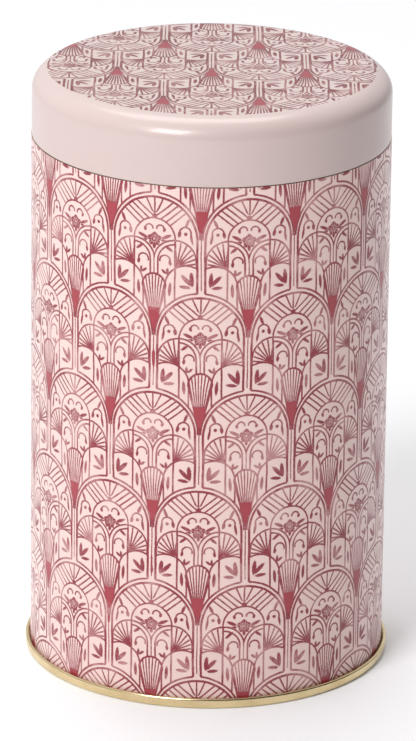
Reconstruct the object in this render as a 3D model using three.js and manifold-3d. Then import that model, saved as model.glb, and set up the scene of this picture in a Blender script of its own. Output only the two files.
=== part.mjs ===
// Coffee tin: a printed tube with a seamed-on base, a collar at the mouth, an inner plug lid
// with a knob, and an outer slip lid that closes flush with the tube.
// Millimetres, +Z up. The origin is on the floor, under the middle of the tin, and +Y is the back.

import * as THREE from 'three';
import { mergeVertices } from 'three/addons/utils/BufferGeometryUtils.js';
import Module from 'manifold-3d';

// ---- Driving dimensions ----

const TIN = 0.3; // thickness of the tinplate
const BODY_RADIUS = 54.0; // outside of the printed tube
const BODY_TOP = 163.7;
const RING_SIDES = 40; // flats round each large turned piece, a multiple of four
const SMALL_SIDES = 24; // flats round each small turned piece

// Base seam: the tube's flange and the base's edge folded round each other.
const SEAM_HEIGHT = 3.1; // how far the fold reaches up the tube
const SEAM_GAP = 0.2; // between one folded layer and the next
const HOOK_LENGTH = 1.1; // straight part of the tube's folded flange
const COMPOUND_THICKNESS = 0.16; // ring of sealing compound in the fold
const FLANGE_LIFT = 0.3; // from the base's metal up to the tube's flange
const FOOT_BEND = 0.6; // outside radius of the two corners of the foot
const CHUCK_GAP = 0.1; // between the base's upright wall and the tube

// Base panel, pressed up inside the tube.
const PANEL_HEIGHT = 3.4; // floor to the middle panel's underside
const RIM_BEAD_RISE = 1.2; // ring next to the upright wall, above the middle panel
const RIM_BEAD_WIDTH = 4.5;
const RIM_BEAD_SLOPE = 1.5;
const PANEL_BEND = 1.2;
const STIFFENER_RADIUS = 30.0; // middle of the pressed stiffening ring
const STIFFENER_WIDTH = 4.0;
const STIFFENER_RISE = 0.6;

// Lock seam up the back of the tube, folded to the inside.
const LOCK_WIDTH = 5.0;
const LOCK_LAYERS = 3; // thicknesses of metal inside the tube's own
const LOCK_END_GAP = 3.0; // left free of the base panel and of the collar

// Collar in the mouth of the tube.
const COLLAR_FIT = 0.1; // radial gap to the tube
const COLLAR_DEPTH = 15.0; // how far it reaches down inside the tube
const JOG_HEIGHT = 0.8; // where it steps inward to clear the lid
const JOG_DROP = 0.3; // from the tube's upper edge down to the step
const CURL_RADIUS = 0.9; // outside radius of its curled rim
const RIM_ROOM = 1.1; // from the rim up to where the lid's shoulder begins

// Outer lid.
const LID_SET_IN = 0.1; // how much less its radius is than the tube's
const LID_SEAT_GAP = 0.1;
const LID_HEIGHT = 19.8; // hem to crown
const SHOULDER_REACH = 7.8; // the rounded shoulder, measured inward
const SHOULDER_DROP = 6.0; // and measured downward
const HEM_HEIGHT = 3.0; // edge folded back inside the skirt
const HEM_GAP = 0.1; // between the fold's two layers
const LID_FIT = 0.1; // radial gap from the hem to the collar

// Inner lid, a pan that plugs the collar.
const PLUG_FIT = 0.1; // radial gap to the collar's rim
const PLUG_DEPTH = 10.5; // rim to the pan's floor
const PLUG_BEND = 2.0;
const FLANGE_SEAT_GAP = 0.1; // from the collar's rim to the flange
const FLANGE_SET_IN = 0.2; // how much less its radius is than the collar's
const PAN_STIFFENER_RADIUS = 32.0;
const PAN_STIFFENER_WIDTH = 5.0;
const PAN_STIFFENER_RISE = 0.7;

// Knob of the inner lid, with the rivet that holds it.
const KNOB_HEIGHT = 9.2;
const KNOB_RADIUS = 8.5;
const KNOB_FOOT_RADIUS = 6.0;
const KNOB_WAIST_RADIUS = 4.4;
const KNOB_EDGE = 1.4; // roundness of the grip's rim
const KNOB_SINK_RADIUS = 3.6; // recess for the rivet's upper head
const KNOB_SINK_DEPTH = 1.3;
const RIVET_RADIUS = 1.6;
const RIVET_HEAD_RADIUS = 3.0;
const RIVET_HEAD_HEIGHT = 1.0;
const RIVET_FIT = 0.1; // round the rivet, and between the stacked pieces
const WASHER_RADIUS = 5.0;
const WASHER_THICKNESS = 0.8;

// ---- Places worked out from them ----

const LAYER = SEAM_GAP + TIN; // one folded layer with its gap
const SEAM_RADIUS = BODY_RADIUS + 3 * LAYER;
const FLANGE_BEND = (SEAM_GAP * 2 + TIN) / 2 + TIN; // outside radius of the tube's fold
const FLANGE_CENTRE = BODY_RADIUS - TIN + FLANGE_BEND;
const FLANGE_FOOT = TIN + FLANGE_LIFT;
const CHUCK_RADIUS = BODY_RADIUS - TIN - CHUCK_GAP - TIN; // inside of the base's upright wall
const LOCK_DEPTH = LOCK_LAYERS * TIN;
const COLLAR_RADIUS = BODY_RADIUS - TIN - COLLAR_FIT;
const LID_RADIUS = BODY_RADIUS - LID_SET_IN;
const HEM_RADIUS = LID_RADIUS - 2 * TIN - HEM_GAP;
const MOUTH_RADIUS = HEM_RADIUS - LID_FIT; // outside of the collar above the tube
const LID_FOOT = BODY_TOP + LID_SEAT_GAP;
const COLLAR_TOP = LID_FOOT + LID_HEIGHT - SHOULDER_DROP - RIM_ROOM;
const PLUG_RADIUS = MOUTH_RADIUS - 2 * CURL_RADIUS - PLUG_FIT;
const FLANGE_RADIUS = MOUTH_RADIUS - FLANGE_SET_IN;
const BORE_RADIUS = RIVET_RADIUS + RIVET_FIT;

// ---- Finishes ----

const FINISH = {
  printed_wall: { color: 0xdcaaa9, roughness: 0.42, metalness: 0.1 },
  printed_lid: { color: 0xe0cdc9, roughness: 0.4, metalness: 0.1 },
  gold_lacquer: { color: 0xd2b878, roughness: 0.3, metalness: 0.85 },
  bright_tin: { color: 0xc9cbcc, roughness: 0.28, metalness: 0.95 },
  turned_aluminium: { color: 0xc4c6c8, roughness: 0.35, metalness: 0.95 },
  compound: { color: 0x8f8a80, roughness: 0.8, metalness: 0.0 },
};

// ---- Sections ----

function at(radius, height) {
  return new THREE.Vector2(radius, height);
}

// Points along a bend about a centre, between two angles in degrees. A bend with one radius is
// round, and one with a separate rise is an ellipse.
function bend(centreRadius, centreHeight, reach, from, to, steps, rise = reach) {
  return Array.from({ length: steps + 1 }, (_, i) => {
    const angle = THREE.MathUtils.degToRad(from + ((to - from) * i) / steps);
    return at(centreRadius + reach * Math.cos(angle), centreHeight + rise * Math.sin(angle));
  });
}

// The outline of a bent sheet, from the points of one face. The metal lies on the right of the
// way they run. The outline takes in the other face, and closes on itself or on the axis.
function sheet(face) {
  const back = face.map((point, i) => {
    const into = point.clone().sub(face[Math.max(i - 1, 0)]).normalize();
    const out = face[Math.min(i + 1, face.length - 1)].clone().sub(point).normalize();
    const along = into.clone().add(out).normalize();
    const mitre = along.dot(i > 0 ? into : out);
    return at(point.x + (along.y * TIN) / mitre, point.y - (along.x * TIN) / mitre);
  });
  back.reverse();
  const endsOnAxis = face[face.length - 1].x === 0;
  const outline = endsOnAxis ? [...back, ...face] : [...face, ...back];
  if (outline[0].x > 0) outline.push(outline[0]);
  return outline.reverse();
}

// A ring pressed into a flat panel, as four points from the middle outward.
function pressedRing(radius, width, height, rise) {
  const slope = Math.abs(rise) * 2;
  return [
    at(radius - width / 2, height),
    at(radius - width / 2 + slope, height + rise),
    at(radius + width / 2 - slope, height + rise),
    at(radius + width / 2, height),
  ];
}

// ---- Solids ----

function revolve(outline, sides) {
  return new THREE.LatheGeometry(outline, sides).rotateX(Math.PI / 2);
}

function piece(name, geometry, finish) {
  const mesh = new THREE.Mesh(geometry, new THREE.MeshStandardMaterial(FINISH[finish]));
  mesh.name = name;
  return mesh;
}

const wasm = await Module();
wasm.setup();

function toSolid(geometry) {
  const bare = geometry.clone();
  bare.deleteAttribute('normal');
  bare.deleteAttribute('uv');
  const merged = mergeVertices(bare);
  const vertProperties = new Float32Array(merged.attributes.position.array);
  const triVerts = new Uint32Array(merged.index.array);
  return new wasm.Manifold(new wasm.Mesh({ numProp: 3, vertProperties, triVerts }));
}

function fromSolid(solid) {
  const mesh = solid.getMesh();
  const geometry = new THREE.BufferGeometry();
  geometry.setAttribute('position', new THREE.BufferAttribute(mesh.vertProperties, 3));
  geometry.setIndex(new THREE.BufferAttribute(mesh.triVerts, 1));
  geometry.computeVertexNormals();
  return geometry;
}

// ---- The tube and its base ----

// The folded strip of the lock seam, inside the back of the tube. It starts in the middle of the
// tube's metal and follows the tube's two flats on each side of the back.
function lockSeam() {
  const fall = (LOCK_WIDTH / 2) * Math.tan(Math.PI / RING_SIDES);
  const outer = BODY_RADIUS - TIN / 2;
  const inner = BODY_RADIUS - TIN - LOCK_DEPTH;
  const section = new THREE.Shape([
    at(-LOCK_WIDTH / 2, inner - fall),
    at(0, inner),
    at(LOCK_WIDTH / 2, inner - fall),
    at(LOCK_WIDTH / 2, outer - fall),
    at(0, outer),
    at(-LOCK_WIDTH / 2, outer - fall),
  ]);
  const foot = PANEL_HEIGHT + RIM_BEAD_RISE + TIN + LOCK_END_GAP;
  const top = BODY_TOP - COLLAR_DEPTH - LOCK_END_GAP;
  const strip = new THREE.ExtrudeGeometry(section, { depth: top - foot, bevelEnabled: false });
  return strip.translate(0, 0, foot);
}

// A straight tube whose lower edge folds outward and up, with its lock seam joined on.
function bodyWall() {
  const foldHeight = FLANGE_FOOT + FLANGE_BEND;
  const inner = BODY_RADIUS - TIN;
  const tube = revolve(sheet([
    at(FLANGE_CENTRE + FLANGE_BEND, foldHeight + HOOK_LENGTH),
    ...bend(FLANGE_CENTRE, foldHeight, FLANGE_BEND, 0, -180, 6),
    at(inner, BODY_TOP),
  ]), RING_SIDES);
  return piece('body_wall', fromSolid(toSolid(tube).add(toSolid(lockSeam()))), 'printed_wall');
}

// The base: a panel pressed up inside the tube, an upright wall, a flat foot, and an edge that
// folds over the tube's flange and down behind it.
function bottomEnd() {
  const seamBend = FLANGE_BEND;
  const seamTurn = SEAM_HEIGHT - seamBend;
  const footInner = CHUCK_RADIUS + FOOT_BEND;
  const footOuter = SEAM_RADIUS - FOOT_BEND;
  const beadHeight = PANEL_HEIGHT + RIM_BEAD_RISE;
  const beadInner = CHUCK_RADIUS - RIM_BEAD_WIDTH;
  const outline = sheet([
    at(SEAM_RADIUS - 2 * seamBend, FLANGE_FOOT + FLANGE_BEND),
    ...bend(SEAM_RADIUS - seamBend, seamTurn, seamBend, 180, 0, 6),
    ...bend(footOuter, FOOT_BEND, FOOT_BEND, 0, -90, 3),
    ...bend(footInner, FOOT_BEND, FOOT_BEND, -90, -180, 3),
    ...bend(CHUCK_RADIUS - PANEL_BEND, beadHeight - PANEL_BEND, PANEL_BEND, 0, 90, 3),
    at(beadInner, beadHeight),
    at(beadInner - RIM_BEAD_SLOPE, PANEL_HEIGHT),
    ...pressedRing(STIFFENER_RADIUS, STIFFENER_WIDTH, PANEL_HEIGHT, STIFFENER_RISE).reverse(),
    at(0, PANEL_HEIGHT),
  ]);
  return piece('bottom_end', revolve(outline, RING_SIDES), 'gold_lacquer');
}

// A flat ring of compound under the tube's flange.
function seamCompound() {
  const foot = TIN + (FLANGE_LIFT - COMPOUND_THICKNESS) / 2;
  const inner = FLANGE_CENTRE - TIN;
  const outer = FLANGE_CENTRE + TIN;
  const outline = [
    at(inner, foot),
    at(outer, foot),
    at(outer, foot + COMPOUND_THICKNESS),
    at(inner, foot + COMPOUND_THICKNESS),
    at(inner, foot),
  ];
  return piece('seam_compound', revolve(outline, RING_SIDES), 'compound');
}

// A band inside the mouth that steps inward at the tube's upper edge, to leave room for the lid,
// and ends in a rim curled to the inside.
function neckCollar() {
  const jogTop = BODY_TOP - JOG_DROP;
  const curlHeight = COLLAR_TOP - CURL_RADIUS;
  const outline = sheet([
    ...bend(MOUTH_RADIUS - CURL_RADIUS, curlHeight, CURL_RADIUS, 250, 0, 7),
    at(MOUTH_RADIUS, jogTop),
    at(COLLAR_RADIUS, jogTop - JOG_HEIGHT),
    at(COLLAR_RADIUS, BODY_TOP - COLLAR_DEPTH),
  ]);
  return piece('neck_collar', revolve(outline, RING_SIDES), 'bright_tin');
}

// ---- The outer lid ----

// A drawn cap with a flat crown and a rounded shoulder. Its edge folds back inside the skirt.
// Its own zero height is the hem.
function lidShell() {
  const crown = LID_RADIUS - SHOULDER_REACH;
  const hemBend = TIN + HEM_GAP / 2;
  const outline = sheet([
    at(0, LID_HEIGHT),
    ...bend(crown, LID_HEIGHT - SHOULDER_DROP, SHOULDER_REACH, 90, 0, 6, SHOULDER_DROP),
    ...bend(LID_RADIUS - hemBend, hemBend, hemBend, 0, -180, 4),
    at(HEM_RADIUS, HEM_HEIGHT),
  ]);
  return piece('lid_shell', revolve(outline, RING_SIDES), 'printed_lid');
}

// ---- The inner lid, with its zero height at the collar's rim ----

// A pan with a pierced floor, an upright wall that plugs the mouth and a flange that lies on the
// collar's rim.
function innerLidPan() {
  const floor = -PLUG_DEPTH;
  const flange = FLANGE_SEAT_GAP + TIN;
  const well = PLUG_RADIUS - TIN;
  const outline = sheet([
    at(BORE_RADIUS, floor),
    ...pressedRing(PAN_STIFFENER_RADIUS, PAN_STIFFENER_WIDTH, floor, PAN_STIFFENER_RISE),
    ...bend(well - PLUG_BEND, floor + PLUG_BEND, PLUG_BEND, -90, 0, 3),
    at(well, flange),
    at(FLANGE_RADIUS, flange),
  ]);
  return piece('inner_lid_pan', revolve(outline, RING_SIDES), 'bright_tin');
}

// A turned knob with a foot, a waist and a rounded grip, bored through and recessed on top.
function innerLidKnob() {
  const foot = -PLUG_DEPTH + RIVET_FIT;
  const top = foot + KNOB_HEIGHT;
  const grip = KNOB_RADIUS - KNOB_EDGE;
  const outline = [
    at(BORE_RADIUS, foot),
    at(KNOB_FOOT_RADIUS, foot),
    at(KNOB_FOOT_RADIUS, foot + KNOB_EDGE),
    at(KNOB_WAIST_RADIUS, foot + KNOB_HEIGHT / 3),
    at(KNOB_WAIST_RADIUS, foot + KNOB_HEIGHT / 2),
    ...bend(grip, top - KNOB_EDGE, KNOB_EDGE, -60, 90, 5),
    at(KNOB_SINK_RADIUS, top),
    at(KNOB_SINK_RADIUS, top - KNOB_SINK_DEPTH),
    at(BORE_RADIUS, top - KNOB_SINK_DEPTH),
    at(BORE_RADIUS, foot),
  ];
  return piece('inner_lid_knob', revolve(outline, SMALL_SIDES), 'turned_aluminium');
}

// A washer that spreads the rivet's pull over the thin floor, from below.
function rivetWasher() {
  const top = -PLUG_DEPTH - TIN - RIVET_FIT;
  const outline = [
    at(BORE_RADIUS, top - WASHER_THICKNESS),
    at(WASHER_RADIUS, top - WASHER_THICKNESS),
    at(WASHER_RADIUS, top),
    at(BORE_RADIUS, top),
    at(BORE_RADIUS, top - WASHER_THICKNESS),
  ];
  return piece('rivet_washer', revolve(outline, SMALL_SIDES), 'bright_tin');
}

// A rivet with a domed head at each end: one under the washer, one in the knob's recess.
function knobRivet() {
  const lower = -PLUG_DEPTH - TIN - WASHER_THICKNESS - 2 * RIVET_FIT;
  const upper = -PLUG_DEPTH + KNOB_HEIGHT - KNOB_SINK_DEPTH + 2 * RIVET_FIT;
  const outline = [
    at(0, lower - RIVET_HEAD_HEIGHT),
    ...bend(0, lower, RIVET_HEAD_RADIUS, -70, 0, 3, RIVET_HEAD_HEIGHT),
    at(RIVET_RADIUS, lower),
    at(RIVET_RADIUS, upper),
    ...bend(0, upper, RIVET_HEAD_RADIUS, 0, 70, 3, RIVET_HEAD_HEIGHT),
    at(0, upper + RIVET_HEAD_HEIGHT),
  ];
  return piece('knob_rivet', revolve(outline, SMALL_SIDES), 'turned_aluminium');
}

// ---- The assembly ----

function group(height, ...pieces) {
  const assembly = new THREE.Group();
  assembly.position.z = height;
  return assembly.add(...pieces);
}

export default new THREE.Group().add(
  group(0, bodyWall(), bottomEnd(), seamCompound(), neckCollar()),
  group(COLLAR_TOP, innerLidPan(), innerLidKnob(), rivetWasher(), knobRivet()),
  group(LID_FOOT, lidShell()),
);
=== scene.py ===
"""A coffee tin: printed tube and lid, gold base seam, and the inner plug lid under the outer one."""
import math

import bpy
import numpy as np
from mathutils import Matrix, Vector


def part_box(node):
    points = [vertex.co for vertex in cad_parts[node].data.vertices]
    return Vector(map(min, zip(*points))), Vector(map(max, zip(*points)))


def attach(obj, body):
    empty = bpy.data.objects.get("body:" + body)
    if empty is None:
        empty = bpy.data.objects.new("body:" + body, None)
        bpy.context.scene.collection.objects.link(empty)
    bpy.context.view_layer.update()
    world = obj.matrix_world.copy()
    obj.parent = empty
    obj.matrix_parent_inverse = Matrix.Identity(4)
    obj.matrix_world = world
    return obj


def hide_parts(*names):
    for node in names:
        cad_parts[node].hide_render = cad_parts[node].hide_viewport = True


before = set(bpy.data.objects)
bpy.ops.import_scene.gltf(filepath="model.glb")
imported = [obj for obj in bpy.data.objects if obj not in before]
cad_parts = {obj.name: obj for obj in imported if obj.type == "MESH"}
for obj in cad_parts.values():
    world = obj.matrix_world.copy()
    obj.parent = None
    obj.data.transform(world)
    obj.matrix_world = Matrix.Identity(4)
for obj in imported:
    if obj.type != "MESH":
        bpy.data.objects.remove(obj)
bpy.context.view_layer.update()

MM = 0.001
TAU = 2 * math.pi
FLOOR_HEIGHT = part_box("bottom_end")[0].z
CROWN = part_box("lid_shell")[1].z
LID_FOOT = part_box("lid_shell")[0].z
TUBE_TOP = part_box("body_wall")[1].z
COLLAR_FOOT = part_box("neck_collar")[0].z
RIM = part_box("neck_collar")[1].z
SEAM_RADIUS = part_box("bottom_end")[1].x
LID_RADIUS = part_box("lid_shell")[1].x
FLANGE_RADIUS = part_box("inner_lid_pan")[1].x
KNOB_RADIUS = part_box("inner_lid_knob")[1].x
KNOB_FOOT, KNOB_TOP = (corner.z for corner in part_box("inner_lid_knob"))

# Sheet metal, in metres.
TIN = 0.3 * MM
FIT = 0.1 * MM  # gap between pieces that slip over or lie on each other
WALL_RADIUS = LID_RADIUS + FIT
SEAM_HEIGHT = 3.1 * MM
SEAM_GAP = 0.2 * MM
COLLAR_RADIUS = WALL_RADIUS - TIN - FIT
HEM_GAP = 0.1 * MM
HEM_RADIUS = LID_RADIUS - 2 * TIN - HEM_GAP
MOUTH_RADIUS = HEM_RADIUS - FIT
CURL_RADIUS = 0.9 * MM
PLUG_RADIUS = MOUTH_RADIUS - 2 * CURL_RADIUS - FIT
PAN_FLOOR = KNOB_FOOT - FIT
BORE_RADIUS = 1.7 * MM
LOCK_HALF_WIDTH = 2.5 * MM
LOCK_EDGE = LOCK_HALF_WIDTH - 0.4 * MM  # where the fold's edge shows as a groove

# The print, in millimetres: tiles of arches, each row half a tile round from the next.
TILES_ROUND = 12
TILE = TAU * WALL_RADIUS / MM / TILES_ROUND
ROW = 30.36
FIRST_ROW = 8.3  # up from the floor
FIRST_TURN = -2.36  # round from the front
LID_ROW = 28.5
LID_FIRST_ROW = 38.7  # forward from the middle of the crown
LID_PRINT_RADIUS = 49.4
LID_PRINT_PLACE = 3.5  # how far back the printed disc's middle lies
BARE_MARGIN = 0.75  # half the strip without print along the back seam


# ---- Sheet-metal sections and the surfaces turned from them ----

AXIS_REACH = 1e-9  # a point nearer the axis than this lies on it
SHARP_EDGE = math.radians(40)
LARGE_TURN = 288  # steps round the large pieces
KNOB_TURN = 128
SMALL_TURN = 96


def at(radius, height):
    """One point of a section, as a row of radius and height."""
    return np.array([[radius, height]])


def bend(radius, height, reach, start, end, steps, rise=None):
    """A bend about (radius, height): reach times the cosine outward and rise times the sine upward,
    as the angle runs from start to end in degrees."""
    angle = np.radians(np.linspace(start, end, steps + 1))
    rise = reach if rise is None else rise
    return np.stack([radius + reach * np.cos(angle), height + rise * np.sin(angle)], 1)


def pressed_ring(radius, width, height, rise, steps=12):
    """A ring pressed into a flat panel: its height follows half a wave of the cosine across it."""
    t = np.linspace(-1, 1, steps + 1)
    return np.stack([radius + t * width / 2, height + rise * (0.5 + 0.5 * np.cos(math.pi * t))], 1)


def sheet(*runs):
    """The closed section of a bent sheet. The runs follow its outer face with the metal on the
    right, and the other face lies one thickness behind it, square to the mean of each corner's
    two directions. Returns the points and which of them are on the outer face."""
    face = np.concatenate(runs)
    step = np.diff(face, axis=0)
    step /= np.linalg.norm(step, axis=1, keepdims=True)
    into = np.concatenate([step[:1], step])
    out = np.concatenate([step, step[-1:]])
    along = into + out
    along /= np.linalg.norm(along, axis=1, keepdims=True)
    mitre = (along * out).sum(1, keepdims=True)
    back = face + np.stack([along[:, 1], -along[:, 0]], 1) * TIN / mitre
    outer = np.concatenate([np.ones(len(face), bool), np.zeros(len(back), bool)])
    return np.concatenate([face, back[::-1]]), outer


def solid(*runs):
    """The section of a piece that isn't bent from sheet: all of it is outer face."""
    points = np.concatenate(runs)
    return points, np.ones(len(points), bool)


def turns(count, fine_middle=None, fine_reach=0.0, fine_count=0):
    """Angles round the axis: count equal ones, and fine_count more within fine_reach of one place."""
    angles = np.linspace(0, TAU, count, endpoint=False)
    if fine_count:
        extra = np.linspace(-fine_reach, fine_reach, fine_count) + fine_middle
        clear = np.abs(angles - fine_middle) > fine_reach
        angles = np.sort(np.concatenate([angles[clear], extra]))
    return angles


def revolve(name, section, materials, angles, push=None):
    """A closed surface: the section's radius r and height z carried round the axis, so that a
    point at angle a is (r sin a, -r cos a, z). A point on the axis is one vertex. push gives how
    far each point moves outward. Faces of the outer face take the first material."""
    points, outer = section
    rolled = np.roll(points, -1, 0)
    area = (points[:, 0] * rolled[:, 1] - rolled[:, 0] * points[:, 1]).sum()
    if area < 0:
        points, outer = points[::-1], outer[::-1]
    count, around = len(points), len(angles)
    radius = np.repeat(points[:, :1], around, 1)
    height = np.repeat(points[:, 1:], around, 1)
    angle = np.repeat(angles[None], count, 0)
    if push is not None:
        radius = radius + push(height, angle, outer[:, None])
    grid = np.stack([radius * np.sin(angle), -radius * np.cos(angle), height], -1)
    index = np.arange(count * around).reshape(count, around)
    on_axis = points[:, 0] < AXIS_REACH
    index[on_axis] = index[on_axis][:, :1]
    used, index = np.unique(index, return_inverse=True)
    index = index.reshape(count, around)
    a, b = index, np.roll(index, -1, 1)
    d, c = np.roll(a, -1, 0), np.roll(b, -1, 0)
    quads = np.stack([a, b, c, d], -1)
    inner = ~(outer & np.roll(outer, -1))
    slots = np.repeat(inner[:, None], around, 1)
    starts, ends = on_axis, np.roll(on_axis, -1)
    flat = ~starts & ~ends
    faces = quads[flat].reshape(-1, 4).tolist()
    faces += quads[starts & ~ends][..., [0, 2, 3]].reshape(-1, 3).tolist()
    faces += quads[~starts & ends][..., [0, 1, 2]].reshape(-1, 3).tolist()
    kinds = np.concatenate([
        slots[flat].ravel(), slots[starts & ~ends].ravel(), slots[~starts & ends].ravel(),
    ])
    mesh = bpy.data.meshes.new(name)
    mesh.from_pydata(grid.reshape(-1, 3)[used], [], faces)
    for material in materials:
        mesh.materials.append(material)
    mesh.polygons.foreach_set("material_index", np.minimum(kinds, len(materials) - 1).astype(np.int32))
    mesh.polygons.foreach_set("use_smooth", np.ones(len(kinds), bool))
    mesh.set_sharp_from_angle(angle=SHARP_EDGE)
    mesh.update()
    piece = bpy.data.objects.new(name, mesh)
    bpy.context.scene.collection.objects.link(piece)
    return piece


def place(piece, node, body, slot):
    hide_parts(node)
    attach(piece, body)


# ---- Materials ----


class Paint:
    """A material, or the surround, and its node tree. node() adds any node."""

    def __init__(self, name, shader="Principled BSDF", kind="materials"):
        self.material = getattr(bpy.data, kind).new(name)
        self.material.use_nodes = True
        self.tree = self.material.node_tree
        self.shader = self.tree.nodes[shader]

    def node(self, kind, settings=None, sockets=None, output=0):
        """Adds a node: first its settings, then the values or wires of its sockets."""
        made = self.tree.nodes.new(kind)
        for name, value in (settings or {}).items():
            setattr(made, name, value)
        for name, value in (sockets or {}).items():
            self.feed(made.inputs[name], value)
        return Wire(self, made.outputs[output])

    def feed(self, socket, value):
        if isinstance(value, Wire):
            self.tree.links.new(value.socket, socket)
        else:
            socket.default_value = value

    def set(self, **sockets):
        """Sets the shader's sockets, named in lower case with underscores."""
        for name, value in sockets.items():
            self.feed(self.shader.inputs[name.replace("_", " ").title().replace("Ior", "IOR")], value)

    def maths(self, operation, *values):
        return self.node("ShaderNodeMath", {"operation": operation}, dict(enumerate(values)))

    def vector(self, operation, *values, output=0):
        sockets = dict(enumerate(values))
        return self.node("ShaderNodeVectorMath", {"operation": operation}, sockets, output)

    def object_place(self):
        """Object coordinates, in millimetres."""
        place = self.node("ShaderNodeTexCoord", output="Object")
        return self.vector("SCALE", place).scaled(1 / MM)

    def noise(self, place, size, detail=2.0, rough=0.5, output=0):
        """Soft random variation about a half, in patches of that size in millimetres."""
        sockets = {"Vector": place, "Scale": 1 / size, "Detail": detail, "Roughness": rough}
        return self.node("ShaderNodeTexNoise", None, sockets, output)

    def radius(self, place):
        """Distance from the tin's axis."""
        flat = self.vector("MULTIPLY", place, (1.0, 1.0, 0.0))
        return self.vector("LENGTH", flat, output=1)

    def blend(self, factor, first, second):
        """A colour that runs from first to second as factor runs from 0 to 1."""
        sockets = {0: factor, 6: first, 7: second}
        return self.node("ShaderNodeMix", {"data_type": "RGBA"}, sockets, 2)

    def choose(self, factor, first, second):
        """A vector that runs from first to second as factor runs from 0 to 1."""
        sockets = {0: factor, 4: first, 5: second}
        return self.node("ShaderNodeMix", {"data_type": "VECTOR"}, sockets, 1)

    def bump(self, height, distance, strength):
        """Relief in the shading: height times distance, in metres."""
        sockets = {"Height": height, "Distance": distance, "Strength": strength}
        self.set(normal=self.node("ShaderNodeBump", None, sockets))


class Wire:
    """A socket on which sums are written as Python expressions. Each adds its Math node."""

    def __init__(self, paint, socket):
        self.paint, self.socket = paint, socket

    def __add__(self, other):
        return self.paint.maths("ADD", self, other)

    def __sub__(self, other):
        return self.paint.maths("SUBTRACT", self, other)

    def __rsub__(self, other):
        return self.paint.maths("SUBTRACT", other, self)

    def __mul__(self, other):
        return self.paint.maths("MULTIPLY", self, other)

    def __truediv__(self, other):
        return self.paint.maths("DIVIDE", self, other)

    def __lt__(self, other):
        return self.paint.maths("LESS_THAN", self, other)

    def __neg__(self):
        return 0.0 - self

    def __abs__(self):
        return self.paint.maths("ABSOLUTE", self)

    __radd__, __rmul__ = __add__, __mul__

    def scaled(self, size):
        """Sets how much a Vector Math node of the scaling kind enlarges its vector."""
        self.socket.node.inputs["Scale"].default_value = size
        return self

    def part(self, axis):
        return self.paint.node("ShaderNodeSeparateXYZ", None, {0: self}, axis)

    def fold(self, half):
        """Distance to the nearest whole number of twice half."""
        return self.paint.maths("PINGPONG", self, half)

    def cosine(self):
        return self.paint.maths("COSINE", self)

    def smooth(self, low, high):
        """0 below low, 1 above high and an even S between them."""
        settings = {"interpolation_type": "SMOOTHSTEP"}
        return self.paint.node("ShaderNodeMapRange", settings, {0: self, 1: low, 2: high})


def least(*wires):
    """The smallest: where distances are to shapes, their union."""
    found = wires[0]
    for wire in wires[1:]:
        found = found.paint.maths("MINIMUM", found, wire)
    return found


def most(*wires):
    """The largest: where distances are to shapes, what they share."""
    found = wires[0]
    for wire in wires[1:]:
        found = found.paint.maths("MAXIMUM", found, wire)
    return found


# ---- The print. All of it is in millimetres: distances are negative inside a shape. ----

ARCH = 12.95  # inner line of the arch: its radius and half width
ARCH_CENTRE = -12.65
BORDER = 13.75  # line round the arch, which is the lower edge of the tiles above it
BORDER_CENTRE = -12.1
ROW_START = 2.5  # how far over an arch's top its row begins
PANEL_ARCH = 6.4
PANEL_PLACE = (9.8, -26.7)
SCALLOP = 6.4
SCALLOP_PLACE = (6.3, -19.0)
SCALLOP_FOOT = -17.9  # top of the line between the two scallops
SCALLOP_INSET = 1.3  # from a scallop's line to the second line inside it
INNER_ARCH = 6.35
INNER_CENTRE = -12.5

LINE = 0.62  # width of the arch's line; the finer ones follow it
EDGE_LINE = 0.52
FINE_LINE = 0.44
HOOK_LINE = 0.42
HAIR_LINE = 0.4
VEIN_LINE = 0.16
CLEAR = 0.4  # bare ground left along a line; the smaller ones follow it
PANEL_CLEAR = 0.25
SHELL_CLEAR = 0.1

# The sunburst over the inner arch: a hub, rays, and slanting lines beside them.
HUB = -5.6
HUB_RADIUS = 0.75
RAY_ANGLE = math.radians(25.0)
SLANT = math.radians(40.0)
BURST_CLEAR = 0.6  # from the slant through the hub back to the rays
HATCH_START = 0.2
HATCH_SPACING = 0.79  # half the distance between slanting lines
HATCH_REACH = 5.3
HATCH_CLEAR = 0.3

# The corner beside it: a hook cut off by a sloping line, and a dot.
HOOK_PLACE = (9.35, -10.1)
HOOK = 1.7
HOOK_SLOPE = 0.6
HOOK_CUT = 5.6
DOT_PLACE = (9.45, -10.5)
DOT = 0.48

# The flower: its middle, petals and veins, and the bow's upper half beside it.
FLOWER = -12.6
PETALS = 1.95
PETAL_COUNT = 5.0
PETAL_DEPTH = 0.24
FLOWER_EYE = 1.05
VEIN = 0.07
VEIN_ANGLE = math.radians(30.0)
BOW_PLACE = (1.75, -9.35)
BOW = 1.15
BOW_FOOT = -9.5

# The scallops: the fan in the outer half, and a crook in the inner half.
FAN_PLACE = (7.1, -20.4)
FAN_ANGLE = math.radians(15.0)
FAN_TURN = math.radians(-7.0)
FAN_SIDE = 6.7
FAN_HUB = 0.85
CROOK_PLACE = (3.35, -19.0)
CROOK = 1.55
CROOK_FOOT = -19.5

# The ribbed shell under a small arch, and the solid foot where its ribs meet.
SMALL_ARCH = 3.6
SMALL_ARCH_CENTRE = -26.9
RIBS_MEET = -41.4
SHELL_ANGLE = math.radians(14.0)
RIB_ANGLE = math.radians(3.5)
RIB = 0.16  # half a rib's width
FOOT_TOP = -33.7
FOOT_HALF_WIDTH = 2.0
FOOT_FLARE = 0.13
FOOT_END = -40.4

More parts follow.
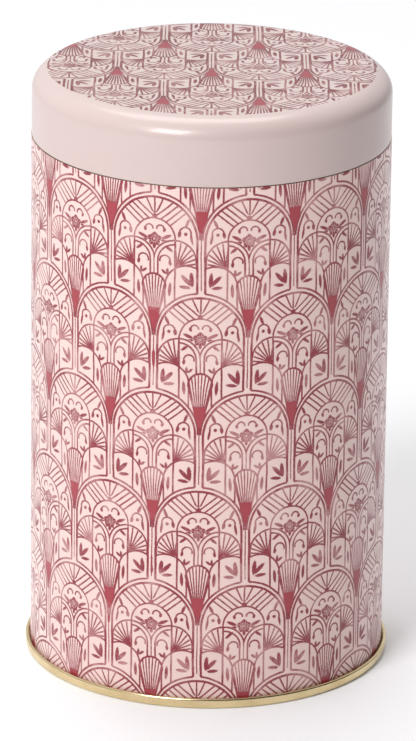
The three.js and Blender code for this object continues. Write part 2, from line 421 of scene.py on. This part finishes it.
# Leaves: place, turn from sideways in degrees, half length and half width.
CORNER_LEAVES = (
    (10.0, -7.1, 66, 1.3, 0.42), (7.6, -10.6, 80, 0.95, 0.48), (11.2, -11.9, 100, 1.5, 0.34),
)
FLOWER_LEAVES = (
    (3.65, -11.7, 24, 1.5, 0.46), (3.1, -13.0, -8, 1.0, 0.36), (3.0, -9.6, 72, 0.6, 0.4),
    (0.0, -14.7, 90, 0.8, 0.45),
)
SCALLOP_LEAVES = (
    (4.9, -19.7, 100, 0.75, 0.42), (4.5, -15.3, -38, 1.25, 0.4), (4.1, -22.4, 90, 0.95, 0.36),
    (4.9, -22.7, 35, 0.95, 0.36), (3.1, -22.5, 140, 0.85, 0.36),
)
PANEL_LEAVES = (
    (11.25, -24.5, 95, 2.1, 0.62), (9.75, -24.8, 134, 2.1, 0.6), (9.35, -26.9, 174, 1.5, 0.48),
    (4.85, -27.9, 86, 1.9, 0.46),
)


class Motif:
    """Distances to simple shapes at one place in the tile: u to the side of its middle line, always
    positive, and v up from the top of the arch."""

    def __init__(self, paint, place):
        self.paint, self.place = paint, place
        self.u, self.v = place.part(0), place.part(1)

    def from_point(self, u, v):
        return self.paint.vector("DISTANCE", self.place, (u, v, 0.0), output=1)

    def stilted(self, u, v, radius):
        """An arch about (u, v): a half circle on top of two uprights."""
        across = self.u - u
        up = self.paint.maths("MAXIMUM", self.v - v, 0.0)
        both = self.paint.node("ShaderNodeCombineXYZ", None, {0: across, 1: up})
        return self.paint.vector("LENGTH", both, output=1) - radius

    def leaves(self, table):
        """Leaves, each an ellipse: its distance is measured as a share of its half width."""
        found = []
        for u, v, turn, length, width in table:
            sockets = {"Vector": self.place, "Location": (u, v, 0.0),
                       "Rotation": (0.0, 0.0, math.radians(turn)), "Scale": (length, width, 1.0)}
            local = self.paint.node("ShaderNodeMapping", {"vector_type": "TEXTURE"}, sockets)
            found.append((self.paint.vector("LENGTH", local, output=1) - 1.0) * width)
        return least(*found)

    def turn_about(self, u, v):
        """The angle from upright, seen from (u, v)."""
        return self.paint.maths("ARCTAN2", self.u - u, self.v - v)

    def rays(self, u, v, spacing, offset=0.0):
        """Rays from (u, v), spacing radians apart: the distance out and that to the nearest ray."""
        length = self.from_point(u, v)
        return length, (self.turn_about(u, v) + offset).fold(spacing / 2) * length


def stroke(distance, width):
    """A line of that width along a shape's edge."""
    return abs(distance) - width / 2


def sunburst(m, inner_arch):
    """A hub over the inner arch, its rays, and slanting lines beside them."""
    length, ray = m.rays(0.0, HUB, RAY_ANGLE)
    slant = m.u * math.sin(SLANT) - (m.v - HUB) * math.cos(SLANT)
    burst = most(ray - HAIR_LINE / 2, slant + BURST_CLEAR)
    line = (slant - HATCH_START).fold(HATCH_SPACING) - HAIR_LINE / 2
    hatch = most(line, -HATCH_CLEAR - slant, slant - HATCH_REACH)
    return most(least(burst, hatch, length - HUB_RADIUS), -inner_arch)


def corner(m):
    """Between the slanting lines and the scallop: a leaf, a hook with a bud, and a dot."""
    hook = stroke(m.stilted(*HOOK_PLACE, HOOK), HOOK_LINE)
    hook = most(hook, m.u * -HOOK_SLOPE - m.v - HOOK_CUT)
    return least(hook, m.leaves(CORNER_LEAVES), m.from_point(*DOT_PLACE) - DOT)


def flower(m, scallop):
    """A flower over the two scallops: a ring of petals, with a bow and a leaf on each side."""
    length, vein = m.rays(0.0, FLOWER, VEIN_ANGLE, VEIN_ANGLE / 2)
    wave = (m.turn_about(0.0, FLOWER) * PETAL_COUNT).cosine()
    petals = length - PETALS - wave * PETAL_DEPTH
    petals = most(petals, VEIN - vein, -stroke(length - FLOWER_EYE, VEIN_LINE))
    bow = most(stroke(m.from_point(*BOW_PLACE) - BOW, HOOK_LINE), BOW_FOOT - m.v)
    return most(least(petals, bow, m.leaves(FLOWER_LEAVES)), CLEAR - scallop)


def scallops(m, scallop, panel):
    """Two scallops side by side: a fan in the outer half of each, and leaves in the inner half."""
    length, ray = m.rays(*FAN_PLACE, FAN_ANGLE, FAN_TURN)
    fan = least(most(ray - HAIR_LINE / 2, FAN_SIDE - m.u), length - FAN_HUB)
    crook = most(stroke(m.from_point(*CROOK_PLACE) - CROOK, HOOK_LINE), CROOK_FOOT - m.v)
    inside = most(least(fan, crook, m.leaves(SCALLOP_LEAVES)), scallop + CLEAR)
    inner_line = most(stroke(scallop + SCALLOP_INSET, FINE_LINE), m.u - SCALLOP_PLACE[0])
    return most(least(inside, inner_line), PANEL_CLEAR - panel)


def shell(m):
    """A ribbed fan under a small arch. Gives its outside, its ink and its solid foot, which fills
    the corner between the two arches below."""
    length, rib = m.rays(0.0, RIBS_MEET, RIB_ANGLE, RIB_ANGLE / 2)
    side = (m.turn_about(0.0, RIBS_MEET) - SHELL_ANGLE) * length
    outside = most(side, m.stilted(0.0, SMALL_ARCH_CENTRE, SMALL_ARCH))
    flare = (m.v - FOOT_TOP) * FOOT_FLARE
    foot = most(m.v - FOOT_TOP, m.u - FOOT_HALF_WIDTH - flare, FOOT_END - m.v)
    ribs = most(rib - RIB, outside)
    return outside, least(stroke(outside, EDGE_LINE), ribs), foot


def arches(paint, across, up, row):
    """Distance to the ink of the whole print. Rows of arches overlap like scales: the arch whose
    row holds the place covers the tile above it, which shows between its shoulders."""
    rank = paint.maths("CEIL", (up - ROW_START) / row)
    low_v = (up - rank * row) * (ROW / row)
    half = TILE / 2
    low_u = (across + rank.fold(1.0) * half).fold(half)
    low = paint.node("ShaderNodeCombineXYZ", None, {0: low_u, 1: low_v})
    high_u, high_v = half - low_u, low_v - ROW
    high = paint.node("ShaderNodeCombineXYZ", None, {0: high_u, 1: high_v})
    border = Motif(paint, low).stilted(0.0, BORDER_CENTRE, BORDER)
    m = Motif(paint, paint.choose(border < 0.0, high, low))
    arch = m.stilted(0.0, ARCH_CENTRE, ARCH)
    inner_arch = m.stilted(0.0, INNER_CENTRE, INNER_ARCH)
    scallop = m.stilted(*SCALLOP_PLACE, SCALLOP)
    panel = m.stilted(*PANEL_PLACE, PANEL_ARCH)
    shell_outside, shell_ink, foot = shell(m)
    filling = least(
        stroke(inner_arch, FINE_LINE),
        most(stroke(scallop, FINE_LINE), -panel),
        stroke(panel, FINE_LINE),
        most(abs(m.u - SCALLOP_PLACE[0]) - HAIR_LINE / 2, scallop),
        most(m.u - HAIR_LINE / 2, scallop, SCALLOP_FOOT - m.v, -panel),
        sunburst(m, inner_arch),
        corner(m),
        flower(m, scallop),
        scallops(m, scallop, panel),
        m.leaves(PANEL_LEAVES),
    )
    filling = most(filling, SHELL_CLEAR - shell_outside)
    drawn = least(most(least(filling, shell_ink), arch), stroke(arch, LINE))
    rim = most(stroke(border, EDGE_LINE), BORDER_CENTRE - low_v, half - ARCH - low_u)
    wedge = most(foot, -border)
    return least(drawn, rim), wedge, high_u, low_v


def shade(red, green, blue):
    """A colour as a paint chart gives it, from 0 to 255, made linear."""
    return (*(((c / 255 + 0.055) / 1.055) ** 2.4 for c in (red, green, blue)), 1.0)


# ---- Finishes. Colour pairs and triples are what noise or wear blends between. ----

WHITE = (1.0, 1.0, 1.0, 1.0)
WALL_LACQUER = shade(240, 212, 207), shade(242, 210, 204)
LID_LACQUER = shade(211, 192, 189), shade(213, 191, 186)
# Ink worn thin, ink kept whole, and the ink of the solid shapes.
WALL_INK = shade(164, 68, 80), shade(142, 36, 52), shade(168, 54, 66)
LID_INK = shade(146, 62, 68), shade(118, 26, 38), shade(156, 34, 50)

WOBBLE_SIZE, WOBBLE = 9.0, 0.5  # the length over which the print strays, and how far
INK_SPREAD_WALL = 0.05
INK_SPREAD_LID = 0.08
GRAIN_SIZE, GRAIN_BITE = 0.5, 0.34  # size of the speckles, and how far they fray the ink's edge
INK_EDGE = 0.09
WEAR_SIZE = 8.0
WEAR_START, WEAR_END = 0.7, 1.15
INK_LEFT, INK_MORE = 0.69, 0.33  # ink left where it is most worn, and how much more elsewhere
BAR_PATCH_SIZE, BAR_LEVEL, BAR_REACH = 13.0, 0.62, 6.0  # where two uprights run together
BAR_WIDEST = 0.5
INK_RELIEF = 0.00002


def ink_on_wall(paint, place):
    """The print round the tube's axis, and the distance to the bare strip along the back seam,
    negative where there is print."""
    x, y, z = (place.part(axis) for axis in range(3))
    across = paint.maths("ARCTAN2", x, -y) * (WALL_RADIUS / MM) - FIRST_TURN
    from_back = paint.maths("ARCTAN2", -x, y) * (WALL_RADIUS / MM)
    bare = BARE_MARGIN - abs(from_back - LOCK_EDGE / MM)
    return arches(paint, across, z - FIRST_ROW, ROW), bare


def ink_on_lid(paint, place, unshifted):
    """The print laid flat over the crown, and the distance to the disc it fills, negative inside."""
    flat = paint.vector("MULTIPLY", unshifted, (1.0, 1.0, 0.0))
    out = paint.vector("DISTANCE", flat, (0.0, LID_PRINT_PLACE, 0.0), output=1)
    forward = -place.part(1) - LID_FIRST_ROW
    return arches(paint, place.part(0), forward, LID_ROW), out - LID_PRINT_RADIUS


def printed(name, lacquer, inks, on_wall):
    """Pale satin lacquer under rose ink. The ink is worn: thin in broad patches, and speckled."""
    paint = Paint(name)
    place = paint.object_place()
    wobble = paint.noise(place, WOBBLE_SIZE, 1.0, output=1)
    shifted = paint.vector("ADD", place, paint.vector("SCALE", wobble).scaled(WOBBLE))
    if on_wall:
        (ink, wedge, gap, drop), bare = ink_on_wall(paint, shifted)
        spread = INK_SPREAD_WALL
    else:
        (ink, wedge, gap, drop), bare = ink_on_lid(paint, shifted, place)
        spread = INK_SPREAD_LID
    patch = paint.noise(place, BAR_PATCH_SIZE)
    bar = most(gap - (patch - BAR_LEVEL) * BAR_REACH, drop - BORDER_CENTRE, gap - BAR_WIDEST)
    solid_ink = least(wedge, bar)
    ink = most(least(ink, solid_ink), bare)
    grain = paint.noise(place, GRAIN_SIZE, rough=0.6)
    covered = 1.0 - (ink - spread + (grain - 0.5) * GRAIN_BITE).smooth(-INK_EDGE, INK_EDGE)
    worn = paint.noise(place, WEAR_SIZE, 3.0, 0.6)
    kept = grain * 0.5 + worn * 1.5 - solid_ink.smooth(-0.4, 0.1) * 0.25 + 0.25
    kept = kept.smooth(WEAR_START, WEAR_END)
    strength = covered * (kept * INK_MORE + INK_LEFT)
    thin, whole, filled = inks
    rose = paint.blend(kept, thin, whole)
    rose = paint.blend(solid_ink.smooth(0.0, -0.3), rose, filled)
    pale = paint.blend(paint.noise(place, 40.0), *lacquer)
    paint.set(base_color=paint.blend(strength, pale, rose),
              roughness=paint.noise(place, 5.0, 4.0) * 0.1 + strength * 0.1 + 0.3,
              coat_weight=0.35, coat_roughness=0.13, specular_ior_level=0.4)
    paint.bump(strength * 0.5 + paint.noise(place, 0.9, 3.0) * 0.25, INK_RELIEF, 0.5)
    return paint.material


ROLLING_FINE = 6.0  # rolling lines to a millimetre
ROLLING_STRETCH = 3.0  # how often they change, to a radian round the piece
ROLLING_RELIEF = 0.00001


def gold_lacquer(name, light, deep):
    """Tinplate under a clear gold lacquer: fine rolling lines round it, and duller patches."""
    paint = Paint(name)
    place = paint.object_place()
    cloud = paint.noise(place, 11.0, 4.0, 0.6)
    x, y, z = (place.part(axis) for axis in range(3))
    turn = paint.maths("ARCTAN2", x, -y) * ROLLING_STRETCH
    sockets = {0: turn, 1: z * ROLLING_FINE, 2: paint.radius(place) * ROLLING_FINE}
    line = paint.noise(paint.node("ShaderNodeCombineXYZ", None, sockets), 1.0, 3.0, 0.6)
    paint.set(base_color=paint.blend(cloud.smooth(0.3, 0.7), light, deep),
              metallic=1.0, roughness=cloud * 0.16 + line * 0.12 + 0.1)
    paint.bump(line, ROLLING_RELIEF, 0.6)
    return paint.material


LATHE_FINE = 5.0  # circles to a millimetre
LATHE_RELIEF = 0.00002
TARNISH = 0.72  # how bright the metal is where it is most tarnished


def turned_metal(name, colour, roughness):
    """Bright metal with fine circles from the lathe, and a little tarnish."""
    paint = Paint(name)
    place = paint.object_place()
    sockets = {0: paint.radius(place) * LATHE_FINE, 1: place.part(2) * LATHE_FINE}
    line = paint.noise(paint.node("ShaderNodeCombineXYZ", None, sockets), 1.0)
    tarnish = paint.noise(place, 6.0, 4.0, 0.65)
    dull = tuple(c * TARNISH for c in colour[:3]) + (1.0,)
    paint.set(base_color=paint.blend(tarnish.smooth(0.45, 0.8), colour, dull), metallic=1.0,
              roughness=tarnish * 0.14 + line * 0.08 + roughness)
    paint.bump(line, LATHE_RELIEF, 0.5)
    return paint.material


COMPOUND_RELIEF = 0.00005


def compound(name):
    """Grey can-end compound: matt, with a slight grain."""
    paint = Paint(name)
    place = paint.object_place()
    grain = paint.noise(place, 0.8, 3.0)
    paint.set(base_color=paint.blend(grain, shade(120, 117, 110), shade(150, 146, 138)),
              roughness=grain * 0.2 + 0.7)
    paint.bump(grain, COMPOUND_RELIEF, 0.4)
    return paint.material


WALL_PRINT = printed("printed_wall", WALL_LACQUER, WALL_INK, True)
LID_PRINT = printed("printed_lid", LID_LACQUER, LID_INK, False)
SEAM_GOLD = gold_lacquer("gold_lacquer", shade(230, 211, 168), shade(216, 195, 149))
INSIDE_GOLD = gold_lacquer("inside_lacquer", shade(214, 196, 150), shade(196, 174, 122))
BRIGHT_TIN = turned_metal("bright_tin", shade(206, 207, 206), 0.2)
ALUMINIUM = turned_metal("turned_aluminium", shade(212, 214, 216), 0.24)
COMPOUND = compound("compound")


# ---- The tube and its base ----

FOLD = SEAM_GAP + TIN / 2 + TIN  # outside radius of the seam's folds
FOLD_PLACE = WALL_RADIUS - TIN + FOLD
FOLD_HEIGHT = TIN + 0.3 * MM + FOLD
HOOK_LENGTH = 1.1 * MM
LOCK_FOOT, LOCK_TOP = 8.0 * MM, COLLAR_FOOT - 3.0 * MM
LOCK_SLOPE = 0.5 * MM  # width of the soft edge of the folded band
GROOVE_WIDTH, GROOVE_DEPTH = 0.28 * MM, 0.18 * MM
BACK = math.pi
FINE_REACH = 4.0 * MM / WALL_RADIUS  # closer steps this far round from the back
FINE_COUNT = 61
LIFT_COUNT = 60
LAST_LIFT = 0.1 * MM  # from the last of these up to the tube's edge

CHUCK_RADIUS = WALL_RADIUS - 2 * TIN - FIT  # the base's upright wall, inside the tube
FOOT_BEND = 0.6 * MM
BAND_REACH, BAND_RISE = 0.8 * MM, 1.9 * MM  # the band's rounding towards the foot
PANEL = 3.4 * MM
PANEL_BEND = 1.2 * MM
RIM_BEAD = 4.5 * MM
# Rings pressed into the base: radius, width and rise in millimetres.
BASE_RINGS = (42, 3, 0.4), (30, 4, 0.6), (18, 3, 0.4)


def lock_seam(height, angle, outer):
    """How far the folded seam moves the tube's wall: a fine groove outside, along one edge of the
    fold, and a flat band of three thicknesses inside, with soft edges."""
    along = (angle - BACK) * WALL_RADIUS
    within = np.clip((height - LOCK_FOOT) / MM, 0, 1) * np.clip((LOCK_TOP - height) / MM, 0, 1)
    band = np.clip((LOCK_HALF_WIDTH - np.abs(along)) / LOCK_SLOPE, 0, 1) * within
    inward = 3 * TIN * (band * band * (3 - 2 * band))
    groove = GROOVE_DEPTH * np.exp(-(((along - LOCK_EDGE) / GROOVE_WIDTH) ** 2))
    above_fold = np.clip((height - SEAM_HEIGHT) / MM, 0, 1)
    below_edge = np.clip((TUBE_TOP - MM - height) / MM, 0, 1)
    return np.where(outer, -groove * above_fold * below_edge, -inward)


def tube():
    """From the edge of the folded flange, round its fold and up the inside of the wall. The sheet's
    other face is the printed one, so which faces are outer is turned over."""
    lift = np.linspace(FOLD_HEIGHT, TUBE_TOP - LAST_LIFT, LIFT_COUNT)
    points, inside = sheet(
        at(FOLD_PLACE + FOLD, FOLD_HEIGHT + HOOK_LENGTH),
        bend(FOLD_PLACE, FOLD_HEIGHT, FOLD, 0, -180, 14)[:-1],
        np.stack([np.full(LIFT_COUNT, WALL_RADIUS - TIN), lift], 1),
        at(WALL_RADIUS - TIN, TUBE_TOP),
    )
    angles = turns(LARGE_TURN, BACK, FINE_REACH, FINE_COUNT)
    wall = revolve("tube_wall", (points, ~inside), [WALL_PRINT, INSIDE_GOLD], angles, lock_seam)
    place(wall, "body_wall", "tin_body", "printed_wall")


def base():
    """The seam's outer face, from its hidden edge over the top, down the band and under the foot,
    then up the inside of the foot and across the pressed panel."""
    rings = [pressed_ring(radius * MM, width * MM, PANEL, rise * MM)[::-1]
             for radius, width, rise in BASE_RINGS]
    section = sheet(
        at(SEAM_RADIUS - 2 * FOLD, FOLD_HEIGHT),
        bend(SEAM_RADIUS - FOLD, SEAM_HEIGHT - FOLD, FOLD, 180, 0, 20),
        bend(SEAM_RADIUS - BAND_REACH, BAND_RISE, BAND_REACH, 0, -90, 14, BAND_RISE),
        bend(CHUCK_RADIUS + FOOT_BEND, FOOT_BEND, FOOT_BEND, -90, -180, 10),
        bend(CHUCK_RADIUS - PANEL_BEND, PANEL, PANEL_BEND, 0, 90, 10),
        bend(CHUCK_RADIUS - RIM_BEAD, PANEL, PANEL_BEND, 90, 180, 10)[:-1],
        at(CHUCK_RADIUS - RIM_BEAD - PANEL_BEND, PANEL),
        *rings,
        at(0, PANEL),
    )
    end = revolve("base_seam_and_panel", section, [SEAM_GOLD], turns(LARGE_TURN))
    place(end, "bottom_end", "tin_body", "gold_lacquer")


COMPOUND_HEIGHT = 0.15 * MM  # its middle, over the base's metal
COMPOUND_RISE = 0.08 * MM


def seam_ring():
    """The compound fills the fold's corner as a flattened round."""
    section = solid(bend(FOLD_PLACE, TIN + COMPOUND_HEIGHT, TIN, 0, 342, 19, COMPOUND_RISE))
    ring = revolve("seam_compound_ring", section, [COMPOUND], turns(2 * SMALL_TURN))
    place(ring, "seam_compound", "tin_body", "compound")


JOG_DROP, JOG_HEIGHT = 0.3 * MM, 0.8 * MM  # the step inward, under the tube's edge


def collar():
    """The collar's rim curls inward. Below it the wall runs down, steps outward in an S at the
    tube's edge and ends inside the tube."""
    t = np.linspace(0, 1, 13)[:, None]
    ease = t * t * (3 - 2 * t)
    jog = np.hstack([MOUTH_RADIUS + (COLLAR_RADIUS - MOUTH_RADIUS) * ease,
                     TUBE_TOP - JOG_DROP - JOG_HEIGHT * t])
    section = sheet(
        bend(MOUTH_RADIUS - CURL_RADIUS, RIM - CURL_RADIUS, CURL_RADIUS, 250, 0, 24),
        jog,
        at(COLLAR_RADIUS, COLLAR_FOOT),
    )
    band = revolve("neck_collar_band", section, [BRIGHT_TIN], turns(LARGE_TURN))
    place(band, "neck_collar", "tin_body", "bright_tin")


# ---- The outer lid ----

SHOULDER_REACH = 7.8 * MM
SHOULDER_DROP = 6.0 * MM
HEM_HEIGHT = 3.0 * MM
SKIRT_TOP, SKIRT_FOOT = 9.0 * MM, 2.0 * MM  # below the crown, and above the lid's foot
CROWN_RINGS, CROWN_SHARE = 12, 0.995  # the rings stop just short of the shoulder


def outer_lid():
    """Flat crown, a shoulder that is a quarter of an ellipse, an upright skirt and its folded
    edge. The crown has rings of points so that its shading stays even."""
    crown = LID_RADIUS - SHOULDER_REACH
    hem = TIN + HEM_GAP / 2
    skirt = np.linspace(CROWN - SKIRT_TOP, LID_FOOT + SKIRT_FOOT, 4)
    section = sheet(
        np.stack([np.linspace(0, crown * CROWN_SHARE, CROWN_RINGS), np.full(CROWN_RINGS, CROWN)], 1),
        bend(crown, CROWN - SHOULDER_DROP, SHOULDER_REACH, 90, 0, 32, SHOULDER_DROP),
        np.stack([np.full(4, LID_RADIUS), skirt], 1),
        bend(LID_RADIUS - hem, LID_FOOT + hem, hem, 0, -180, 12),
        at(HEM_RADIUS, LID_FOOT + HEM_HEIGHT),
    )
    lid = revolve("outer_lid", section, [LID_PRINT, INSIDE_GOLD], turns(LARGE_TURN))
    place(lid, "lid_shell", "outer_lid", "printed_lid")


# ---- The inner lid ----

PAN_MIDDLE = 11.0 * MM
PAN_RING, PAN_RING_WIDTH, PAN_RING_RISE = 32.0 * MM, 5.0 * MM, 0.7 * MM
PAN_BEND = 2.0 * MM
FLANGE_BEND = 0.35 * MM
KNOB_WAIST, KNOB_FLARE = 4.4 * MM, 1.6 * MM
KNOB_FOOT_RADIUS, KNOB_FOOT_HEIGHT = 6.0 * MM, 1.2 * MM
GRIP_HEIGHT, GRIP_EDGE = 2.8 * MM, 1.4 * MM
SMALL_EDGE = 0.4 * MM
SINK_RADIUS, SINK_DEPTH = 3.6 * MM, 1.3 * MM
WASHER_EDGE = 0.25 * MM
RIVET_RADIUS, RIVET_HEAD_HEIGHT = 1.6 * MM, 1.0 * MM


def inner_pan():
    """A pierced floor with a pressed ring, an upright wall and the flange that lies on the rim."""
    well = PLUG_RADIUS - TIN
    flange = RIM + FIT + TIN
    section = sheet(
        at(BORE_RADIUS, PAN_FLOOR),
        at(PAN_MIDDLE, PAN_FLOOR),
        pressed_ring(PAN_RING, PAN_RING_WIDTH, PAN_FLOOR, PAN_RING_RISE),
        bend(well - PAN_BEND, PAN_FLOOR + PAN_BEND, PAN_BEND, -90, 0, 12),
        at(well, flange - SMALL_EDGE),
        bend(well + FLANGE_BEND, flange - FLANGE_BEND, FLANGE_BEND, 180, 90, 6),
        at(FLANGE_RADIUS, flange),
    )
    pan = revolve("inner_lid_pan_pressed", section, [BRIGHT_TIN], turns(LARGE_TURN))
    place(pan, "inner_lid_pan", "inner_lid", "bright_tin")


def knob():
    """Turned: a foot, a waist drawn in by a cosine, a rounded grip and a recess for the rivet."""
    t = np.linspace(0, 1, 17)[:, None]
    low, high = KNOB_FOOT + KNOB_FOOT_HEIGHT, KNOB_TOP - GRIP_HEIGHT
    flare = 0.5 + 0.5 * np.cos(math.pi * np.minimum(t * 2, 1))
    sink = KNOB_TOP - SINK_DEPTH
    section = solid(
        at(BORE_RADIUS, KNOB_FOOT),
        bend(KNOB_FOOT_RADIUS - SMALL_EDGE, KNOB_FOOT + SMALL_EDGE, SMALL_EDGE, -90, 0, 5),
        np.hstack([KNOB_WAIST + KNOB_FLARE * flare, low + (high - low) * t]),
        bend(KNOB_RADIUS - GRIP_EDGE, KNOB_TOP - GRIP_EDGE, GRIP_EDGE, -70, 90, 16),
        bend(SINK_RADIUS + SMALL_EDGE, KNOB_TOP - SMALL_EDGE, SMALL_EDGE, 90, 180, 5),
        at(SINK_RADIUS, sink),
        at(BORE_RADIUS, sink),
    )
    grip = revolve("knob_turned", section, [ALUMINIUM], turns(KNOB_TURN))
    place(grip, "inner_lid_knob", "inner_lid", "turned_aluminium")


def washer():
    """A flat ring with rounded outer edges."""
    low, high = (corner.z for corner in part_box("rivet_washer"))
    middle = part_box("rivet_washer")[1].x - WASHER_EDGE
    section = solid(
        at(BORE_RADIUS, low),
        bend(middle, low + WASHER_EDGE, WASHER_EDGE, -90, 0, 5),
        bend(middle, high - WASHER_EDGE, WASHER_EDGE, 0, 90, 5),
        at(BORE_RADIUS, high),
    )
    ring = revolve("rivet_washer_ring", section, [BRIGHT_TIN], turns(SMALL_TURN))
    place(ring, "rivet_washer", "inner_lid", "bright_tin")


def rivet():
    """A shank between two heads, each a flattened half round."""
    low, high = (corner.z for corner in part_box("knob_rivet"))
    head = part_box("knob_rivet")[1].x
    lower, upper = low + RIVET_HEAD_HEIGHT, high - RIVET_HEAD_HEIGHT
    section = solid(
        at(0, low),
        bend(0, lower, head, -82, 0, 12, RIVET_HEAD_HEIGHT),
        at(RIVET_RADIUS, lower),
        at(RIVET_RADIUS, upper),
        bend(0, upper, head, 0, 82, 12, RIVET_HEAD_HEIGHT),
        at(0, high),
    )
    pin = revolve("rivet_closed", section, [ALUMINIUM], turns(SMALL_TURN))
    place(pin, "knob_rivet", "inner_lid", "turned_aluminium")


# ---- The studio ----

FLOOR_REACH = 6.0
FLOOR_DROP = 0.1 * MM  # keeps the floor clear of the foot
FLOOR_PALE = shade(248, 248, 250), shade(250, 250, 252)
FLOOR_GLOW = 0.14
GLOW_NEAR = shade(188, 188, 188)
GLOW_START, GLOW_END = 100.0, 900.0  # millimetres behind the tin
LEFT_LIGHT, BACK_LIGHT, LEAST_LIGHT = 0.46, 0.75, 0.02
LAMPS_AIM = (0.0, 0.0, 0.15)
# Lamps: name, place, width and height in metres, and power in watts.
LAMPS = (
    ("left_softbox", (-0.48, -0.81, 1.05), 0.45, 0.55, 11.5),
    ("back_softbox", (-0.1, 0.6, 1.4), 0.9, 0.6, 6.0),
)


def lamp(name, place, width, height, power):
    light = bpy.data.lights.new(name, "AREA")
    light.shape = "RECTANGLE"
    light.size, light.size_y, light.energy = width, height, power
    holder = bpy.data.objects.new(name, light)
    bpy.context.scene.collection.objects.link(holder)
    holder.location = place
    aim = Vector(LAMPS_AIM) - Vector(place)
    holder.rotation_euler = aim.to_track_quat("-Z", "Y").to_euler()


def floor():
    """A pale matt floor that glows faintly, a little more behind the tin."""
    paint = Paint("studio_floor")
    place = paint.object_place()
    behind = place.part(1).smooth(GLOW_START, GLOW_END)
    paint.set(base_color=paint.blend(paint.noise(place, 300.0), *FLOOR_PALE), roughness=0.9,
              emission_color=paint.blend(behind, GLOW_NEAR, WHITE), emission_strength=FLOOR_GLOW)
    corners = np.array([(-1, -1, 0), (1, -1, 0), (1, 1, 0), (-1, 1, 0)]) * FLOOR_REACH
    corners[:, 2] = FLOOR_HEIGHT - FLOOR_DROP
    mesh = bpy.data.meshes.new("studio_floor")
    mesh.from_pydata(corners.tolist(), [], [(0, 1, 2, 3)])
    mesh.materials.append(paint.material)
    ground = bpy.data.objects.new("studio_floor", mesh)
    bpy.context.scene.collection.objects.link(ground)


def surround():
    """Soft light: bright on the left and behind, and nearly dark in front and on the right."""
    paint = Paint("surround", "Background", "worlds")
    direction = paint.node("ShaderNodeTexCoord", output="Generated")
    x, y, z = (direction.part(axis) for axis in range(3))
    left = (-x).smooth(0.0, 0.8)
    back = (y * 0.7 + z * 0.7 - x * 0.3).smooth(0.1, 0.7)
    paint.set(color=WHITE, strength=most(left * LEFT_LIGHT, back * BACK_LIGHT) + LEAST_LIGHT)
    bpy.context.scene.world = paint.material


def studio():
    floor()
    surround()
    for settings in LAMPS:
        lamp(*settings)
    bpy.context.scene.view_settings.view_transform = "Standard"


# The camera looks down at the tin from in front, a long way off, and leans a little.
DISTANCE = 1926.6 * MM
LOOKING_DOWN = math.radians(19.758)
LEAN = 0.01186
LOOKS_AT = (-0.27 * MM, 0.0, 87.95 * MM)
LENS = 308.45
SENSOR = 36.0
CLIP_START, CLIP_END = 0.05, 50.0


def camera():
    view = Vector((0.0, math.cos(LOOKING_DOWN), -math.sin(LOOKING_DOWN)))
    up = Vector((0.0, math.sin(LOOKING_DOWN), math.cos(LOOKING_DOWN)))
    right = Vector((1.0, 0.0, 0.0))
    side = math.cos(LEAN) * right + math.sin(LEAN) * up
    top = -math.sin(LEAN) * right + math.cos(LEAN) * up
    data = bpy.data.cameras.new("studio_camera")
    data.sensor_width, data.lens = SENSOR, LENS
    data.clip_start, data.clip_end = CLIP_START, CLIP_END
    holder = bpy.data.objects.new("studio_camera", data)
    bpy.context.scene.collection.objects.link(holder)
    turned = Matrix((side, top, -view)).transposed().to_4x4()
    holder.matrix_world = Matrix.Translation(Vector(LOOKS_AT) - view * DISTANCE) @ turned
    bpy.context.scene.camera = holder


camera()
tube()
base()
seam_ring()
collar()
outer_lid()
inner_pan()
knob()
washer()
rivet()
studio()
